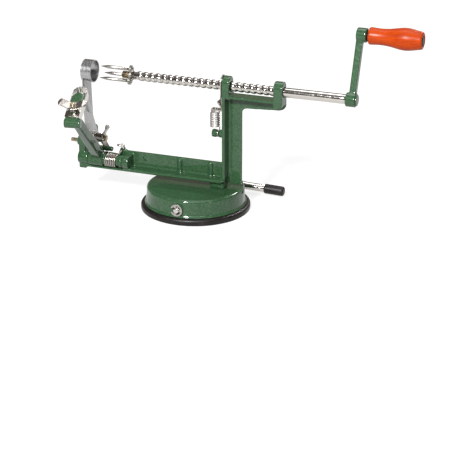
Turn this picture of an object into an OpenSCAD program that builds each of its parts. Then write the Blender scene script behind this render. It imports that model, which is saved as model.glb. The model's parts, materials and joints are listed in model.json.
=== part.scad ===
// Hand-cranked fruit peeler, corer and slicer on a suction base.
// +X points to the crank, +Y to the back and +Z up.
// The origin is the centre of the rubber pad's underside. Millimetres.

/* [Suction base] */
// Radius of the rubber pad
pad_r = 51; // [50:0.5:56]
// Height of the pad's rim
pad_h = 6; // [6:0.2:8]
// Thickness of the rubber under the stud's button
pad_floor = 2.2; // [1.6:0.1:2.6]
// Height of the painted housing above the pad
housing_h = 16.5; // [16:0.5:24]
// Radius of the housing at its top
housing_top_r = 45.4; // [44:0.2:46.5]
// Radius of the housing's flared foot
housing_foot_r = 47.8; // [47:0.2:49]
// Rounding of the housing's top edge
housing_edge_r = 2.2; // [1:0.1:3]
// Thickness of the housing's side wall
housing_wall = 3; // [2:0.1:4]
// Thickness of the housing's roof
housing_roof = 2; // [1.6:0.1:2.4]

/* [Suction lever] */
// Diameter of the lever's rod
lever_d = 7.4; // [7:0.1:8.4]
// Height of the lever's shaft above the pad
lever_rise = 7.5; // [7.3:0.1:8]
// Eccentric throw of the shaft's neck
lever_throw = 1.5; // [1:0.1:1.6]
// Diameter of the eccentric neck
neck_d = 4.2; // [3.6:0.1:4.3]
// Length of the eccentric neck
neck_l = 8; // [7:0.5:12]
// Radius of the rod's bend, on its centre line
lever_bend_r = 6.5; // [6:0.5:9]
// Distance from the shaft to the end of the lever's grip
lever_reach = 69; // [62:1:90]
// How far the end of the lever lies below its shaft
lever_drop = 8.2; // [6:0.1:8.4]
// Diameter of the lever's grip
lever_grip_d = 9.2; // [8.8:0.1:10]
// Length of the lever's grip
lever_grip_l = 19.5; // [16:0.5:26]
// Outer diameter of the retaining clip
clip_d = 11.4; // [10:0.2:11.8]

/* [Frame casting] */
// Gap between the base and the underside of the beam
beam_gap = 5.5; // [4:0.5:9]
// Height of the beam
beam_h = 16.8; // [15.5:0.2:20]
// Thickness of the beam's and the upright's flange
flange_t = 2.9; // [2.6:0.1:3.6]
// Thickness of the web
web_t = 3.2; // [2.6:0.1:4]
// Distance from the shaft's plane to the front of the flanges
frame_front = 6.8; // [6.4:0.1:7.2]
// Distance from the shaft's plane to the back of the web
frame_back = 7.5; // [7:0.1:9]
// Distance from the base's axis to the upright's left face
upright_x = 28.3; // [27:0.1:30]
// Width of the upright
upright_w = 15.4; // [14:0.1:16.4]
// Height of the upright above the beam's underside
upright_h = 85; // [80:1:100]
// Depth of the top arm at the upright
arm_depth = 13.1; // [12:0.1:15]
// Thickness of the top arm's lip
lip_t = 2.4; // [2:0.1:3.2]
// Length of the span from the front lug to the rear lug's far face
lug_span = 57.8; // [50:0.2:70]
// Thickness of the front lug
front_lug_t = 7.2; // [6.4:0.2:9]
// Thickness of the rear lug
rear_lug_t = 8.4; // [6:0.2:10]
// Height of the lugs above the top arm
lug_h = 17.6; // [17.2:0.2:22]
// Height of the feed shaft above the top arm
shaft_rise = 8; // [7.6:0.1:8.8]
// Distance from the upright to the end plate
beam_l = 137.1; // [134:0.1:146]
// Thickness of the end plate
end_t = 6.8; // [5:0.2:8]
// Height of the end plate
end_h = 36; // [35:0.5:40]
// How far the end plate reaches below the beam
end_drop = 2; // [0.5:0.5:3]
// How far the end plate reaches to the back
end_back = 24.4; // [24:0.2:28]

/* [Feed shaft] */
// Diameter of the shaft
shaft_d = 9; // [8:0.1:9.4]
// Lead of the thread
pitch = 6.05; // [5.8:0.05:6.3]
// Width of the groove at its root
groove_w = 1.5; // [1.4:0.05:1.8]
// Depth of the groove
groove_depth = 0.95; // [0.7:0.05:1.1]
// Running clearance of shafts and pins, on the radius
run_gap = 0.06; // [0.03:0.01:0.09]
// Distance from the rear lug to the crank's hub
crank_gap = 57.9; // [44:0.1:70]

/* [Crank] */
// Distance from the shaft to the grip's pin
crank_r = 57.8; // [50:0.2:70]
// Lean of the crank to the back
crank_lean = 21.4; // [0:0.2:60]
// Thickness of the crank's bar
bar_t = 6; // [5:0.2:7]
// Width of the crank's bar
bar_w = 6.6; // [6:0.2:8]
// Diameter of the crank's hub
hub_d = 12.8; // [12.4:0.2:15]
// Length of the crank's hub
hub_l = 9.2; // [9:0.2:14]
// Diameter of the boss that holds the grip's pin
boss_d = 13; // [11:0.2:14]
// Length of the wooden grip
grip_l = 49; // [40:1:60]
// Largest diameter of the wooden grip
grip_d = 20; // [18:0.5:24]
// Diameter of the grip at its neck
grip_neck_d = 14.2; // [13:0.2:16]
// Diameter of the grip at its two ends
grip_end_d = 15.6; // [15:0.2:17]
// Diameter of the grip's pin
grip_pin_d = 6; // [5:0.2:6.6]

/* [Fork] */
// Length of the prongs
prong_l = 29; // [20:1:32]
// Diameter of a prong
prong_d = 3.2; // [2.6:0.1:3.6]
// Radius of the circle that the prongs stand on
prong_circle = 6.2; // [5.6:0.1:6.4]
// Thickness of the fork's plate
fork_t = 2; // [1.4:0.1:2.6]

/* [Feed latch] */
// Thickness of the latch plate
latch_t = 1; // [0.8:0.05:1.1]
// Width of the latch plate
latch_w = 14; // [13.4:0.2:15]
// Lift of the latch that frees the shaft
latch_lift = 2.4; // [2:0.1:2.6]
// Diameter of the latch spring's wire
latch_wire = 1; // [0.8:0.05:1.15]
// Outer diameter of the latch spring
latch_coil_d = 9.6; // [9:0.2:10.4]
// Turns of the latch spring
latch_turns = 8.5; // [6.5:1:8.5]
// Distance from turn to turn of the latch spring
latch_coil_pitch = 1.75; // [1.65:0.05:1.85]

/* [Slicing knife] */
// Thickness of the knife
knife_t = 1; // [0.8:0.05:1.4]
// Inner diameter of the coring ring
ring_d = 19.4; // [19:0.2:21]
// Length of the coring ring
ring_l = 10; // [7:0.5:11]
// Wall of the coring ring
ring_wall = 0.8; // [0.6:0.05:1.2]
// Diameter of the knife's bolt
knife_bolt_d = 6; // [5:0.2:6.4]

/* [Peeling arm] */
// Diameter of the arm's pivot pin
pivot_d = 5; // [4:0.1:5.4]
// Length of the arm's barrel
barrel_l = 34.1; // [33.5:0.1:38]
// Outer diameter of the barrel's shoulder
barrel_d = 13; // [12.4:0.1:13.2]
// Diameter of the barrel under the spring
spring_seat_d = 9.6; // [8.8:0.1:9.8]
// Diameter of the arm spring's wire
arm_wire = 1.3; // [1.1:0.05:1.35]
// Turns of the arm spring
arm_turns = 5.5; // [3.5:1:5.5]
// Distance from turn to turn of the arm spring
arm_coil_pitch = 1.85; // [1.8:0.05:1.9]
// Lean of the blade holder to the back
blade_lean = 60; // [50:1:66]
// Turn of the blade holder, seen from above
blade_yaw = 8.2; // [0:0.2:12]
// Width of the peeling blade
blade_w = 13.2; // [12.4:0.2:15]
// Depth of the peeling blade
blade_depth = 9; // [8:0.2:10]
// Thickness of the blade's strip
strip_t = 0.9; // [0.7:0.05:1.1]
// Height of the blade's sides below its arch
blade_side_h = 32.3; // [31:0.1:36]

/* [Hidden] */
$fn = 64;

green = "#1f4a35";
steel = "#c9cbcd";
chrome = "#dfe2e6";
zinc = "#b9a27a";
black = "#1d1b1a";
wood = "#d8491a";

// Heights
base_top = pad_h + housing_h;
lever_z = pad_h + lever_rise;
beam_z = base_top + beam_gap;
beam_top = beam_z + beam_h;
arm_top = beam_z + upright_h;
arm_bottom = arm_top - arm_depth;
shaft_z = arm_top + shaft_rise;
lug_top = arm_top + lug_h;

// Depths
web_front = frame_back - web_t;
lug_half = frame_front;

// Stations along the beam
upright_right = upright_x + upright_w;
lug_proud = 0.3;
front_lug_x = upright_x - lug_proud;
rear_lug_end = front_lug_x + lug_span;
rear_lug_x = rear_lug_end - rear_lug_t;
end_x = upright_x - beam_l;
crank_x = rear_lug_end + crank_gap;

// Fits
seat_gap = 0.02;
slide_gap = 0.15;
free_gap = 0.3;
over = 1;

// Flare of the housing's foot, its widest radius and its hollow
flare_t = 1;
flare_r = 1.6;
flare_z = pad_h + flare_t + flare_r;
waist_r = housing_foot_r - flare_r;
side_top = base_top - housing_edge_r;
housing_r = max(housing_top_r, housing_foot_r);
hollow_r = min(housing_top_r, waist_r) - housing_wall;
// Radius of the housing's side at a height
function side_r(z) = waist_r + (housing_top_r - waist_r) * (z - flare_z) / (side_top - flare_z);

// Suction stud
stud_button_r = 6;
stud_button_t = 2;
stud_neck_r = 3.2;
pad_pocket_gap = 0.2;
pad_rim_lap = 1;
pad_lip_t = 1.6;
pad_skin = 0.8;
pad_boss_r = 9.5;
pad_bead_r = 2.4;
pad_edge_r = 1.2;
eye_slack = 0.5;
eye_wall = 2;
eye_t = 5.6;
eye_z = lever_z - lever_throw;
eye_slot_h = neck_d + 2 * eye_slack;
eye_slot_w = neck_d + 2 * lever_throw + 2 * eye_slack;

// Lever
lever_gap = 1.6;
lever_y = housing_r + lever_gap + lever_d / 2;
clip_t = 1;
clip_sunk = 0.4;
clip_back = max(housing_foot_r - clip_sunk, side_r(lever_z + clip_d / 2) + free_gap);
shoulder_set = 3.4;
shoulder_y = clip_back - shoulder_set;
clip_front = clip_back + clip_t;
clip_groove_d = 4.2;
clip_rim = 1.5;
clip_mouth = 3.8;
clip_tab_w = 2.4;
shaft_end_d = 5.6;
shaft_end_l = 1.6;
shaft_end_r = 1.2;
lever_knee = 0.42;

// Frame details
corner_r = 6;
inner_r = 5;
arm_taper = 2;
arm_end_r = 5.5;
rear_lug_drop = 7.2;
lug_corner_r = 4.4;
land_h = 16;
land_half = 4;
foot_edge = 15.6;
foot_l = 15;
foot_x1 = housing_top_r - foot_edge;
foot_x0 = foot_x1 - foot_l;
foot_front = 4;
foot_r = 3;
screw_d = 4;
screw_head_d = 6.8;
screw_head_h = 2.4;
screw_cap = 0.5;
screw_depth = beam_gap + screw_cap;
screw_inset = 3.5;
screw_x = [foot_x0 + screw_inset, foot_x1 - screw_inset];
screw_y = (frame_back - foot_front) / 2;
rib_x = [-17, 13.6];
rib_r = 2.3;
rib_drop = 1;
upright_drop = 2.3;
mark_d = 3.4;
mark_h = 0.6;
mark_at = [[-52, beam_z + 12], [upright_x + 6.6, arm_top - 11.6]];
pocket_floor = 2;
stud_rise = 46.9;
stud_z = beam_z + stud_rise;
stud_d = 7.5;
stud_neck_d = 4.6;
stud_base_l = 4.4;
stud_neck_l = 2.4;
stud_head_l = 4.3;

// Pivot of the peeling arm
barrel_gap = free_gap;
barrel_set = 3.6;
barrel_x0 = end_x + barrel_set;
barrel_x1 = barrel_x0 + barrel_l;
wall_x = barrel_x1 + barrel_gap;
wall_t = 6.4;
wall_boss_d = 12;
wall_skin = 1.5;
pivot_y = -4.5;
barrel_rise = 0.5;
pivot_z = beam_z + pocket_floor + barrel_d / 2 + barrel_rise;
wall_rise = 5.6;
wall_top = pivot_z + wall_rise;

// Coil of the arm spring
arm_coil_r = spring_seat_d / 2 + free_gap + arm_wire / 2;
arm_coil_set = 17.7;
arm_coil_x0 = barrel_x0 + arm_coil_set;
arm_coil_l = arm_turns * arm_coil_pitch;
arm_coil_x1 = arm_coil_x0 + arm_coil_l;
ear_set = 1.8;
ear_x = arm_coil_x1 + ear_set;
seat_before = 2.9;
seat_after = 1.4;
seat_x0 = arm_coil_x0 - seat_before;
seat_x1 = ear_x + seat_after;
collar_d = 11.5;
ear_r = 2.6;
ear_rise = 0.4;
ear_z = beam_top + ear_rise;
ear_left = 4.4;
ear_right = 5;
web_step = 4.2;
ear_hole_d = arm_wire + 2 * free_gap + 0.3;
peg_gap = 10.4;
peg_x1 = ear_x - peg_gap;
peg_d = 4.6;
peg_y = web_front + web_t / 2;
peg_drop = 0.5;
peg_z = beam_top - peg_drop;
end_corner_r = 5;
end_front_r = 2;
stop_boss_d = 9;
stop_boss_l = 1.6;

// Slicing knife and its fastener
knife_y = 14.5;
knife_rise = 23;
knife_z = beam_z + knife_rise;
knife_x = end_x + knife_t;
washer_d = 13;
washer_t = 1;
ring_r = ring_d / 2 + ring_wall;
ring_back = 1;
knife_front = -5.6;
knife_foot_w = 7;
knife_back = knife_y + knife_foot_w;
knife_foot = 6;
knife_notch = 0.6;
knife_shoulder = [3.1, 10.1];
knife_waist = [-3.3, 22.7];
knife_neck_drop = 28;
knife_belly = 7.6;
knife_belly_drop = 36;
knife_front_rise = 12;
nut_d = 8.6;
knife_nut_l = 7.4;
blade_nut_l = 4.5;
wing_t = 1.2;
wing_w = 8;
wing_tuck = 0.6;
wing_foot = 4.2;
wing_angle = 32;
wing_ear_l = 7.6;
wing_tip_turn = -46;
wing_tip_l = 4;
wing_reach = 13.2;
bolt_end = 2;
knife_nut_x = knife_x + washer_t;
carriage_head_d = 12.5;
carriage_head_h = 3;

// Stop pin
stop_d = 3.8;
stop_y = -2.2;
stop_rise = 24.2;
stop_out = 8.8;
stop_in = 10.6;
stop_z = beam_z + stop_rise;
stop_x0 = end_x - end_t - stop_out;
stop_x1 = end_x + stop_in;

// Blade holder: its own frame stands at the lower middle of the front plate
blade_set = 17.8;
blade_rise = 62.5;
blade_x = end_x + blade_set;
blade_y = -71.3;
blade_z = pivot_z + blade_rise;
plate_h = 17;
plate_step = 3;
arch_front = 1.6;
side_cut = 5;
tip_gap = 0.15;
tip_half = blade_w / 2 - strip_t - tip_gap;
tip_front = strip_t + tip_gap;
tuck = 0.25;
tip_base = 0.2;
tip_base_h = 0.5;
tip_set = 7;
tip_round_z = blade_side_h - tip_set;
blade_bolt_d = 4;
blade_bolt_z = 9.2;
blade_hole_d = 3;
blade_hole_z = 4.2;
blade_bolt_cap = 1.5;
blade_bolt_y = blade_depth - blade_bolt_cap;
knee_r = 4.6;
knee_half = 7.5;
knee_core = 4;
knee_x = 1;
knee_y = 5.3;
knee_z = -2.8;
root_r = 5.15;
root_half = 4.1;
root_set = 8.8;
root_back = 2.1;
root_rise = 2.2;
root_x = barrel_x0 + root_set;
root_y = pivot_y + root_back;
root_z = pivot_z + root_rise;
neck_r = 4.6;
neck_half = 2.85;
neck_set = 5.5;
neck_reach = 56.4;
neck_rise = 55.3;
neck_x = root_x + neck_set;
neck_y = pivot_y - neck_reach;
neck_z = pivot_z + neck_rise;

// Feed latch
latch_x1 = front_lug_x - slide_gap;
latch_x0 = latch_x1 - latch_t;
latch_x = (latch_x0 + latch_x1) / 2;
thread_root_r = shaft_d / 2 - groove_depth;
crest_r = shaft_d / 2 - seat_gap;
tooth_half = 1;
tooth_gap = 0.3;
latch_rise = 0.6;
latch_top = lug_top + latch_rise;
latch_foot_h = 2.4;
latch_foot_r = 2;
tongue_half = 3.2;
window_gap = 0.8;
window_head = 3;
window_foot = 0.5;
window_half = shaft_d / 2 + window_gap;
window_top = shaft_z + shaft_d / 2 + window_head;
window_bottom = shaft_z - shaft_d / 2 - window_foot - latch_lift;
latch_screw_d = 3;
latch_screw_drop = 3.8;
latch_screw_l = 5.5;
latch_screw_z = window_bottom - latch_screw_drop;
latch_head_d = 4.2;
latch_head_t = 1.6;
shelf_t = 1.2;
shelf_half = 3.2;
shelf_drop = 12.6;
shelf_z = latch_screw_z - shelf_drop;
coil_out = 8.4;
coil_x = front_lug_x - coil_out;
coil_r = (latch_coil_d - latch_wire) / 2;
shelf_reach = 3;
tab_half = 4.5;
tab_foot = 2.8;
tab_rise = 6.3;
tab_reach = 4.3;
tab_t = 1.1;
tab_tuck = 0.3;
shelf_hole_d = latch_wire + 2 * free_gap + 0.4;
coil_neck = 1.7;
coil_top = shelf_z - coil_neck;
coil_bottom = coil_top - latch_turns * latch_coil_pitch;
stud_neck_x = upright_x - stud_base_l - stud_neck_l / 2;
loop_r = stud_neck_d / 2 + free_gap + latch_wire / 2;

// Thread of the feed shaft: its groove meets the latch's tooth at the top of the shaft
thread_sides = 16;
turns_before = 14;
thread_in_lug = 3;
thread_turns = ceil((rear_lug_x + thread_in_lug - latch_x) / pitch) + turns_before;
thread_x = latch_x - groove_w / 2 - pitch / 4 - turns_before * pitch;
flank_w = 0.5;
plain_x = thread_x + (thread_turns - 1) * pitch + groove_w;
root_ramp = 12;

// Fork
fork_set = 1.85;
fork_x1 = thread_x - fork_set;
fork_x0 = fork_x1 - fork_t;
fork_stub_d = 5;
fork_lobe_r = 3.6;
fork_nut_d = 6.8;
fork_nut_l = 7.4;
fork_nut_cap = 1;
fork_hub_r = 5;
prong_tip_l = 7;
prong_head_d = 4.4;
prong_head_t = 1;
prong_turn = 100;

// Crank
crank_end_d = 6.6;
crank_bar_set = 2.4;
crank_bar_x = crank_x + crank_bar_set;
boss_l = 9.2;
pin_y = crank_r * sin(crank_lean);
pin_z = shaft_z + crank_r * cos(crank_lean);
collar_l = 1.7;
grip_collar_d = 10.4;
grip_x = crank_bar_x + boss_l + collar_l;
rivet_d = 10.4;
rivet_h = 1;
rivet_edge_r = 0.7;
grip_cup_d = 9;
grip_cup_h = 1.6;
pin_head_d = 8.2;

// Points in one turn of the springs
coil_steps = 12;

// Plain round bars along the axes
module bar_x(x0, x1, d, y = 0, z = 0) {
  translate([x0, y, z]) rotate([0, 90, 0]) cylinder(h = x1 - x0, d = d);
}

module bar_y(y0, y1, d, x = 0, z = 0) {
  translate([x, y0, z]) rotate([-90, 0, 0]) cylinder(h = y1 - y0, d = d);
}

// An outline drawn in X and Z, from y0 to y1
module slab_y(y0, y1) {
  translate([0, y1, 0]) rotate([90, 0, 0]) linear_extrude(y1 - y0) children();
}

// An outline drawn in Y and Z, from x0 to x1
module slab_x(x0, x1) {
  translate([x0, 0, 0]) rotate([90, 0, 90]) linear_extrude(x1 - x0) children();
}

module block(x0, y0, x1, y1) {
  translate([x0, y0]) square([x1 - x0, y1 - y0]);
}

module round_block(x0, y0, x1, y1, r) {
  block(x0 + r, y0, x1 - r, y1);
  block(x0, y0 + r, x1, y1 - r);
  for (x = [x0 + r, x1 - r], y = [y0 + r, y1 - r]) translate([x, y]) circle(r);
}

// What a rounding takes off a corner: sx and sy point from the corner into the piece
module corner_cut(x, y, r, sx, sy) {
  translate([x, y]) scale([sx, sy]) difference() {
    translate([-over, -over]) square(r + over);
    translate([r, r]) circle(r);
  }
}

// Tube along points
function unit(v) = v / norm(v);
function tangent(p, i) = unit(p[min(i + 1, len(p) - 1)] - p[max(i - 1, 0)]);
function carried(n, t) = unit(n - (n * t) * t);
function normals(p, start) = [
  for (i = 0, n = carried(start, tangent(p, 0));
    i < len(p);
    i = i + 1, n = carried(n, tangent(p, min(i, len(p) - 1)))) n
];
function least_gap(p, d, skip) =
  min([for (i = [0:len(p) - 1]) for (j = [i + skip:1:len(p) - 1]) norm(p[i] - p[j])]) - d;

module tube(p, d, start, sides = 6) {
  n = normals(p, start);
  last = len(p) - 1;
  points = [for (i = [0:last]) for (j = [0:sides - 1])
    let (b = cross(tangent(p, i), n[i]), a = 360 * j / sides)
      p[i] + d / 2 * (cos(a) * n[i] + sin(a) * b)];
  walls = [for (i = [0:last - 1]) for (j = [0:sides - 1])
    let (a = i * sides + j, b = i * sides + (j + 1) % sides)
      each [[a, b + sides, b], [a, a + sides, b + sides]]];
  near = [for (j = [1:sides - 2]) [0, j, j + 1]];
  far = [for (j = [1:sides - 2]) [last * sides, last * sides + j + 1, last * sides + j]];
  polyhedron(points, concat(walls, near, far));
}

// Suction base
module base_housing() {
  color(green) difference() {
    rotate_extrude() {
      difference() {
        polygon([[0, pad_h], [housing_foot_r, pad_h], [housing_foot_r, flare_z], [waist_r, flare_z],
          [housing_top_r, side_top], [housing_top_r - housing_edge_r, side_top],
          [housing_top_r - housing_edge_r, base_top], [0, base_top]]);
        translate([housing_foot_r, flare_z]) circle(flare_r);
      }
      translate([housing_top_r - housing_edge_r, side_top]) circle(housing_edge_r);
    }
    translate([0, 0, pad_h - over])
      cylinder(h = base_top - housing_roof - pad_h + over, r = hollow_r);
    bar_y(-housing_r - over, housing_r + over, lever_d + 2 * run_gap, 0, lever_z);
    for (x = screw_x) translate([x, screw_y, base_top - housing_roof - over])
      cylinder(h = housing_roof + 2 * over, d = screw_d + 2 * seat_gap);
  }
}

module suction_pad() {
  rim_in = hollow_r - pad_rim_lap;
  boss_top = pad_floor + stud_button_t + 2 * pad_pocket_gap + pad_lip_t;
  color(black) difference() {
    union() {
      rotate_extrude() difference() {
        block(0, 0, pad_r, pad_h);
        block(-over, pad_floor + pad_skin, rim_in, pad_h + over);
        corner_cut(pad_r, pad_h, pad_bead_r, -1, -1);
        corner_cut(pad_r, 0, pad_edge_r, -1, 1);
      }
      cylinder(h = boss_top, r = pad_boss_r);
    }
    translate([0, 0, pad_floor])
      cylinder(h = stud_button_t + 2 * pad_pocket_gap, r = stud_button_r + pad_pocket_gap);
    translate([0, 0, pad_floor + stud_button_t])
      cylinder(h = boss_top, r = stud_neck_r + pad_pocket_gap);
  }
}

module pad_stud() {
  button_z = pad_floor + pad_pocket_gap;
  eye_w = eye_slot_w + 2 * eye_wall;
  color(steel) difference() {
    union() {
      translate([0, 0, button_z]) cylinder(h = stud_button_t, r = stud_button_r);
      translate([0, 0, button_z]) cylinder(h = eye_z - eye_slot_h / 2 - button_z, r = stud_neck_r);
      slab_y(-eye_t / 2, eye_t / 2) round_block(-eye_w / 2, eye_z - eye_slot_h / 2 - eye_wall,
        eye_w / 2, eye_z + eye_slot_h / 2 + eye_wall, 1.5);
    }
    slab_y(-eye_t, eye_t) round_block(-eye_slot_w / 2, eye_z - eye_slot_h / 2,
      eye_slot_w / 2, eye_z + eye_slot_h / 2, eye_slot_h / 2 - 0.1);
  }
}

// Lever: the knee splits the arm into a falling and a level stretch, in the plane of lever_y
lever_knee_x = lever_reach * lever_knee;
lever_grip_cap = 2;
lever_end_x = lever_reach - lever_grip_cap;
lever_knee_z = lever_z - lever_drop * 0.86;
lever_end_z = lever_z - lever_drop;
fall_angle = atan2(lever_z - lever_knee_z, lever_knee_x);
level_angle = atan2(lever_knee_z - lever_end_z, lever_end_x - lever_knee_x);
fall_l = norm([lever_knee_x, lever_z - lever_knee_z]);
level_l = norm([lever_end_x - lever_knee_x, lever_knee_z - lever_end_z]);
knee_run = 2.5;
arm_step = 0.1;
fall_way = [cos(fall_angle), 0, -sin(fall_angle)];
level_way = [cos(level_angle), 0, -sin(level_angle)];
bend_start = [0, lever_y - lever_bend_r, lever_z];
arm_start = [0, lever_y, lever_z];
arm_knee = arm_start + fall_l * fall_way;
bend_steps = 8;
lever_path = concat(
  [bend_start - [0, 3, 0]],
  [for (i = [0:bend_steps]) let (a = 90 * i / bend_steps)
    bend_start + lever_bend_r * (sin(a) * [0, 1, 0] + (1 - cos(a)) * fall_way)],
  [arm_knee - knee_run * fall_way, arm_knee + knee_run * level_way, arm_knee + level_l * level_way]);

// Axes of the level stretch: X along the rod from the knee
module on_level() {
  translate([lever_knee_x, lever_y, lever_knee_z]) rotate([0, level_angle, 0]) children();
}

module lever_rod() {
  end_l = clip_front + shaft_end_l - shoulder_y + over;
  color(chrome) {
    difference() {
      union() {
        bar_y(-shoulder_y, bend_start[1] - over, lever_d, 0, lever_z);
        translate([0, over - shoulder_y, lever_z]) rotate([90, 0, 0]) rotate_extrude() difference() {
          block(0, 0, shaft_end_d / 2, end_l);
          corner_cut(shaft_end_d / 2, end_l, shaft_end_r, -1, -1);
        }
      }
      translate([0, -neck_l / 2, lever_z]) rotate([-90, 0, 0]) difference() {
        cylinder(h = neck_l, d = lever_d + over);
        translate([0, lever_throw, -over]) cylinder(h = neck_l + 2 * over, d = neck_d);
      }
      translate([0, -clip_front - seat_gap, lever_z]) rotate([-90, 0, 0]) difference() {
        cylinder(h = clip_t + 2 * seat_gap, d = lever_d + over);
        translate([0, 0, -over]) cylinder(h = clip_t + 3 * over, d = clip_groove_d);
      }
    }
    tube(lever_path, lever_d - arm_step, [0, 0, 1], 20);
  }
}

module lever_grip() {
  r = lever_grip_d / 2;
  grip_start = lever_reach - lever_knee_x - lever_grip_l;
  color(black) on_level() translate([grip_start, 0, 0]) rotate([0, 90, 0]) difference() {
    rotate_extrude() difference() {
      block(0, 0, r, lever_grip_l);
      corner_cut(r, lever_grip_l, r * 0.45, -1, -1);
      corner_cut(r, 0, 1.2, -1, 1);
    }
    translate([0, 0, -over]) cylinder(h = level_l - grip_start + over + seat_gap, d = lever_d + 2 * seat_gap);
  }
}

module retaining_clip() {
  tab_x = clip_groove_d / 2 - 1;
  color(steel) slab_y(-clip_front, -clip_back) translate([0, lever_z]) difference() {
    union() {
      difference() {
        circle(d = clip_d);
        circle(d = clip_d - 2 * clip_rim);
      }
      for (a = [0, 110, 250]) rotate(a) translate([tab_x, -clip_tab_w / 2])
        square([clip_d / 2 - clip_rim / 2 - tab_x, clip_tab_w]);
    }
    circle(d = clip_groove_d + 2 * seat_gap);
    translate([-clip_d, -clip_mouth / 2]) square([clip_d, clip_mouth]);
  }
}

// Frame casting
module web_outline() {
  block(end_x - over, beam_z, ear_x, beam_top - web_step);
  block(ear_x, beam_z, upright_x + flange_t, beam_top);
  block(upright_x, beam_z - upright_drop, upright_right, arm_top);
  difference() {
    polygon([[upright_x, arm_bottom], [upright_right + inner_r, arm_bottom],
      [rear_lug_end, arm_bottom + arm_taper], [rear_lug_end, arm_top], [upright_x, arm_top]]);
    corner_cut(rear_lug_end, arm_bottom + arm_taper, arm_end_r, -1, 1);
  }
  translate([upright_right, arm_bottom]) difference() {
    translate([-over, -inner_r]) square([inner_r + over, inner_r + over]);
    translate([inner_r, -inner_r]) circle(inner_r);
  }
  ear_outline();
}

module ear_outline() {
  foot_z = beam_top - web_step;
  side = ear_r * 0.9;
  translate([ear_x, ear_z]) circle(ear_r);
  polygon([[ear_x - ear_left, foot_z - over], [ear_x - ear_left, foot_z], [ear_x - side, ear_z + 1],
    [ear_x + side, ear_z + 1], [ear_x + ear_right, beam_top], [ear_x + ear_right, foot_z - over]]);
}

// The pocket's wall: a round boss for the pivot pin in front of a block
module wall_outline() {
  translate([pivot_y, pivot_z]) circle(d = wall_boss_d);
  block(-frame_front, beam_z, web_front + over, pivot_z);
  block(pivot_y, beam_z, web_front + over, wall_top);
}

module end_outline() {
  bottom = beam_z - end_drop;
  top = bottom + end_h;
  difference() {
    block(-frame_front, bottom, end_back, top);
    corner_cut(-frame_front, bottom, end_front_r, 1, 1);
    corner_cut(end_back, bottom, end_corner_r, -1, 1);
    corner_cut(-frame_front, top, end_corner_r, 1, -1);
    corner_cut(end_back, top, end_corner_r, -1, -1);
  }
}

module flange_outline() {
  difference() {
    union() {
      block(wall_x, beam_z, upright_x + flange_t, beam_z + flange_t);
      block(upright_x, beam_z, upright_x + flange_t, arm_top);
    }
    corner_cut(upright_x + flange_t, beam_z, corner_r, -1, 1);
  }
  difference() {
    block(upright_x - corner_r, beam_z + flange_t, upright_x, beam_z + flange_t + corner_r);
    translate([upright_x - corner_r, beam_z + flange_t + corner_r]) circle(corner_r);
  }
  block(end_x - over, beam_z, wall_x + over, beam_z + pocket_floor);
  block(upright_x, arm_top - lip_t, rear_lug_end, arm_top);
}

module lug_outline(bottom) {
  block(-lug_half, bottom, lug_half, lug_top - lug_half);
  translate([0, lug_top - lug_half]) circle(lug_half);
}

module spring_stud() {
  neck_x = upright_x - stud_base_l;
  head_x = neck_x - stud_neck_l;
  bar_x(neck_x, upright_x + over, stud_d, 0, stud_z);
  bar_x(head_x - over, neck_x + over, stud_neck_d, 0, stud_z);
  bar_x(head_x - stud_head_l, head_x, stud_d, 0, stud_z);
}

module frame_casting() {
  color(green) difference() {
    union() {
      slab_y(web_front, frame_back) web_outline();
      slab_y(-frame_front, frame_back) flange_outline();
      slab_x(front_lug_x, front_lug_x + front_lug_t) lug_outline(arm_top - lip_t);
      difference() {
        slab_x(rear_lug_x, rear_lug_end) lug_outline(arm_top - rear_lug_drop);
        slab_y(-lug_half - over, web_front)
          corner_cut(rear_lug_end, arm_top - rear_lug_drop, lug_corner_r, -1, 1);
      }
      slab_x(front_lug_x, upright_x + over) block(-land_half, arm_top - land_h, land_half, arm_top);
      slab_x(end_x - end_t, end_x) end_outline();
      bar_x(end_x - end_t, barrel_x0 - barrel_gap, wall_boss_d, pivot_y, pivot_z);
      bar_x(end_x - end_t - stop_boss_l, end_x - over, stop_boss_d, stop_y, stop_z);
      slab_x(wall_x, wall_x + wall_t) wall_outline();
      for (x = rib_x) translate([x, web_front, beam_z + over])
        cylinder(h = beam_h - over - rib_drop, r = rib_r);
      for (m = mark_at) bar_y(web_front - mark_h, web_front + over, mark_d, m[0], m[1]);
      translate([0, 0, base_top]) linear_extrude(beam_gap + over)
        round_block(foot_x0, -foot_front, foot_x1, frame_back, foot_r);
      spring_stud();
      bar_x(end_x - over, peg_x1, peg_d, peg_y, peg_z);
    }
    bar_x(front_lug_x - over, rear_lug_end + over, shaft_d + 2 * run_gap, 0, shaft_z);
    bar_x(end_x - end_t - over, wall_x + wall_t - wall_skin, pivot_d + 2 * seat_gap, pivot_y, pivot_z);
    bar_x(end_x - end_t - over, end_x + over, knife_bolt_d + 2 * seat_gap, knife_y, knife_z);
    bar_x(end_x - end_t - stop_boss_l - over, end_x + over, stop_d + 2 * seat_gap, stop_y, stop_z);
    bar_x(front_lug_x - over, front_lug_x + latch_screw_l + screw_cap, latch_screw_d + 2 * seat_gap,
      0, latch_screw_z);
    bar_y(web_front - over, frame_back + over, ear_hole_d, ear_x, ear_z);
    for (x = screw_x) translate([x, screw_y, base_top - over])
      cylinder(h = screw_depth + over, d = screw_d + 2 * seat_gap);
  }
}

module frame_screws() {
  roof_z = base_top - housing_roof;
  color(steel) for (x = screw_x) translate([x, screw_y, roof_z - screw_head_h]) {
    cylinder(h = screw_head_h, d = screw_head_d);
    cylinder(h = screw_head_h + housing_roof + screw_depth - screw_cap, d = screw_d);
  }
}

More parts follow.
